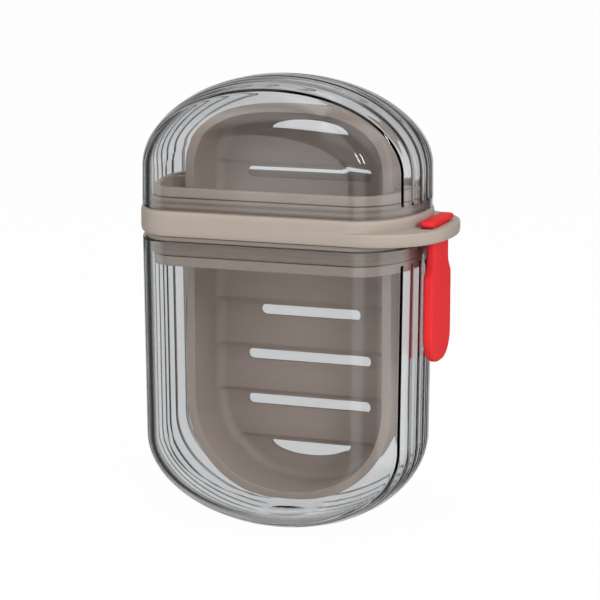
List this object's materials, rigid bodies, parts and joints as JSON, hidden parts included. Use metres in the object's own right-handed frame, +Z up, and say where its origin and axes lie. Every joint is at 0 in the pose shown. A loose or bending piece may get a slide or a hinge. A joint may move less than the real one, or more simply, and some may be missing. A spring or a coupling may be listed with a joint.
{
  "type": "draining soap dish",
  "caption": "Upright travel soap case: clear ribbed covers push onto a beige ring whose collar holds a slotted draining tray, with a silicone strap in the ring's tab.",
  "frame": {"origin": "centre of the small flat foot under the lower cover, midway across the covers", "axes": "+Z up, +X towards the ring's tab and strap, -Y the side that the tray opens to"},
  "size_m": [0.0904, 0.0512, 0.1296],
  "materials": {
    "clear_plastic": "clear, polished",
    "beige_plastic": "satin",
    "tray_plastic": "satin",
    "seal_rubber": "matte",
    "red_silicone": "satin"
  },
  "bodies": {
    "lower_cover": {"lower_cover": "clear_plastic"},
    "ring_assembly": {"middle_ring": "beige_plastic", "drain_tray": "tray_plastic", "upper_seal": "seal_rubber", "lower_seal": "seal_rubber"},
    "upper_cover": {"upper_cover": "clear_plastic"},
    "strap_head": {"strap_head": "red_silicone"},
    "strap_grip": {"strap_grip": "red_silicone"}
  },
  "joints": [
    {"name": "tray_lift", "type": "slide", "parent": "lower_cover", "child": "ring_assembly", "axis": [0, 0, 1], "range_m": [0, 0.085]},
    {"name": "upper_cover_lift", "type": "slide", "parent": "ring_assembly", "child": "upper_cover", "axis": [0, 0, 1], "range_m": [0, 0.035]},
    {"name": "strap_lift", "type": "slide", "parent": "ring_assembly", "child": "strap_head", "axis": [0, 0, 1], "range_m": [0, 0.005]},
    {"name": "strap_bend", "type": "hinge", "parent": "strap_head", "child": "strap_grip", "pos_m": [0.0443, 0, 0.0786], "axis": [0, -1, 0], "range_deg": [-3, 90]}
  ]
}
